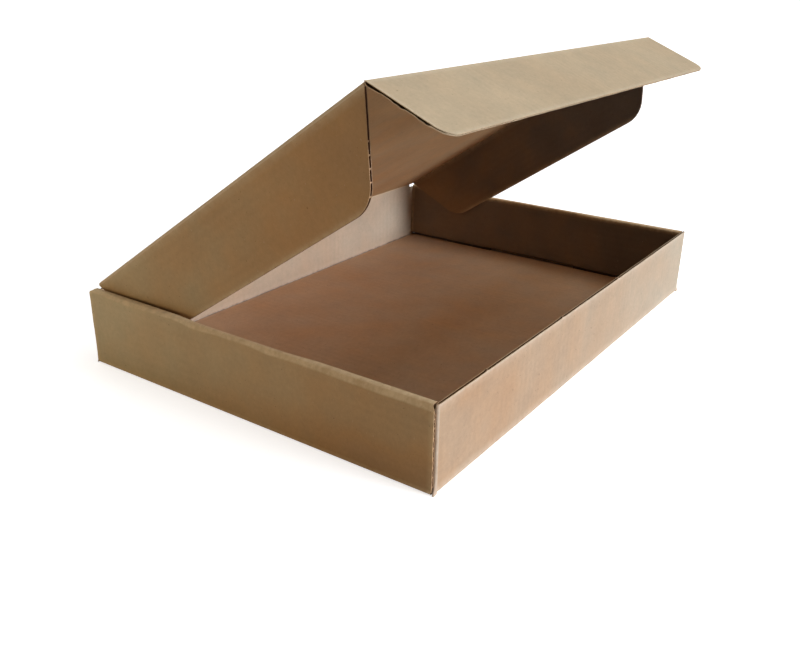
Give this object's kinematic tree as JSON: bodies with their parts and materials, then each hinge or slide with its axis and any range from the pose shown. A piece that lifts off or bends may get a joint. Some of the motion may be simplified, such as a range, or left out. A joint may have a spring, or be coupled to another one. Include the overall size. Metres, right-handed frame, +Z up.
{
  "type": "large letter mailer box",
  "caption": "Shallow folded mailer box of fine corrugated board, with double side walls and a hinged lid that stands open, with a tuck flap and side flaps.",
  "frame": {"origin": "middle of the underside of the base, on the surface that the box stands on", "axes": "+Z up; +X along the lid's crease, to the right seen from the front; -Y to the front wall, +Y to the back wall that carries the lid"},
  "size_m": [0.16, 0.114, 0.0849],
  "materials": {
    "tray_board": "brown kraft liner, matt, with faint flute lines and fibres",
    "lid_board": "brown kraft liner, matt, with faint flute lines and fibres",
    "left_flap_board": "brown kraft liner, matt, with faint flute lines and fibres",
    "right_flap_board": "brown kraft liner, matt, with faint flute lines and fibres",
    "tuck_flap_board": "brown kraft liner, matt, with faint flute lines and fibres"
  },
  "bodies": {
    "tray": {"tray": "tray_board"},
    "lid": {"lid": "lid_board"},
    "lid_flap_left": {"lid_flap_left": "left_flap_board"},
    "lid_flap_right": {"lid_flap_right": "right_flap_board"},
    "tuck_flap": {"tuck_flap": "tuck_flap_board"}
  },
  "joints": [
    {"name": "lid_hinge", "type": "hinge", "parent": "tray", "child": "lid", "pos_m": [0, 0.05655, 0.02245], "axis": [-1, 0, 0], "range_deg": [-31.8, 146.3]},
    {"name": "tuck_fold", "type": "hinge", "parent": "lid", "child": "tuck_flap", "pos_m": [0, -0.03638, 0.08443], "axis": [1, 0, 0], "range_deg": [-57, 36]},
    {"name": "left_flap_fold", "type": "hinge", "parent": "lid", "child": "lid_flap_left", "pos_m": [-0.07595, 0.0563, 0.02208], "axis": [0, -0.832, 0.5548], "range_deg": [0, 85]},
    {"name": "right_flap_fold", "type": "hinge", "parent": "lid", "child": "lid_flap_right", "pos_m": [0.07595, 0.0563, 0.02208], "axis": [0, 0.832, -0.5548], "range_deg": [0, 85]}
  ]
}
